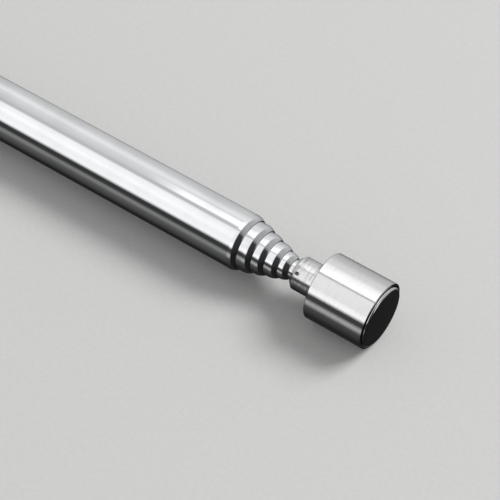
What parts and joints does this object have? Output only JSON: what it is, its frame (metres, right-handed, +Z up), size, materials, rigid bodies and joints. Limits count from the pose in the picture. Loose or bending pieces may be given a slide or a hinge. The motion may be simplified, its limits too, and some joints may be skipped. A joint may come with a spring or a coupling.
{
  "type": "telescoping magnetic pickup tool",
  "caption": "Pocket magnetic pickup tool: plated telescoping tubes with a neodymium magnet in a steel cup at the tip and a pocket clip at the tail.",
  "frame": {"origin": "centre of the magnet's working face", "axes": "+X out of the magnet's face along the tool's axis, +Z up with the tool lying on its side"},
  "size_m": [0.1309, 0.0102, 0.008],
  "materials": {
    "tube_plating": "bright nickel-chrome plate on drawn brass tube, polished",
    "rod_plating": "bright plated steel rod, polished",
    "holder_nickel": "turned free-cutting steel, nickel plated, fine tool marks round it",
    "magnet_nickel": "nickel-plated sintered magnet, lapped mirror face",
    "adhesive_epoxy": "black epoxy bond line",
    "cap_plating": "turned brass, bright nickel-chrome plate",
    "clip_steel": "stamped spring steel, bright plated",
    "leaf_bronze": "phosphor bronze strip, as rolled",
    "bush_brass": "turned brass, bare"
  },
  "bodies": {
    "barrel": {"barrel_tube": "tube_plating", "end_cap": "cap_plating", "pocket_clip": "clip_steel"},
    "leaves_2": {"spring_leaf_2_upper": "leaf_bronze", "spring_leaf_2_lower": "leaf_bronze"},
    "section_2": {"section_2_tube": "tube_plating"},
    "leaves_3": {"spring_leaf_3_upper": "leaf_bronze", "spring_leaf_3_lower": "leaf_bronze"},
    "section_3": {"section_3_tube": "tube_plating"},
    "leaves_4": {"spring_leaf_4_upper": "leaf_bronze", "spring_leaf_4_lower": "leaf_bronze"},
    "section_4": {"section_4_tube": "tube_plating"},
    "leaves_5": {"spring_leaf_5_upper": "leaf_bronze", "spring_leaf_5_lower": "leaf_bronze"},
    "section_5": {"section_5_tube": "tube_plating"},
    "leaves_6": {"spring_leaf_6_upper": "leaf_bronze", "spring_leaf_6_lower": "leaf_bronze"},
    "section_6": {"section_6_rod": "rod_plating", "rod_bush": "bush_brass", "magnet_holder": "holder_nickel", "magnet_adhesive": "adhesive_epoxy", "magnet": "magnet_nickel"}
  },
  "joints": [
    {"name": "slide_2", "type": "slide", "parent": "barrel", "child": "leaves_2", "axis": [1, 0, 0], "range_m": [0, 0.0963]},
    {"name": "spin_2", "type": "hinge", "parent": "leaves_2", "child": "section_2", "pos_m": [0, 0, 0], "axis": [1, 0, 0], "continuous": true},
    {"name": "slide_3", "type": "slide", "parent": "section_2", "child": "leaves_3", "axis": [1, 0, 0], "range_m": [0, 0.09795]},
    {"name": "spin_3", "type": "hinge", "parent": "leaves_3", "child": "section_3", "pos_m": [0, 0, 0], "axis": [1, 0, 0], "continuous": true},
    {"name": "slide_4", "type": "slide", "parent": "section_3", "child": "leaves_4", "axis": [1, 0, 0], "range_m": [0, 0.09936]},
    {"name": "spin_4", "type": "hinge", "parent": "leaves_4", "child": "section_4", "pos_m": [0, 0, 0], "axis": [1, 0, 0], "continuous": true},
    {"name": "slide_5", "type": "slide", "parent": "section_4", "child": "leaves_5", "axis": [1, 0, 0], "range_m": [0, 0.10088]},
    {"name": "spin_5", "type": "hinge", "parent": "leaves_5", "child": "section_5", "pos_m": [0, 0, 0], "axis": [1, 0, 0], "continuous": true},
    {"name": "slide_6", "type": "slide", "parent": "section_5", "child": "leaves_6", "axis": [1, 0, 0], "range_m": [0, 0.10164]},
    {"name": "spin_6", "type": "hinge", "parent": "leaves_6", "child": "section_6", "pos_m": [0, 0, 0], "axis": [1, 0, 0], "continuous": true}
  ]
}
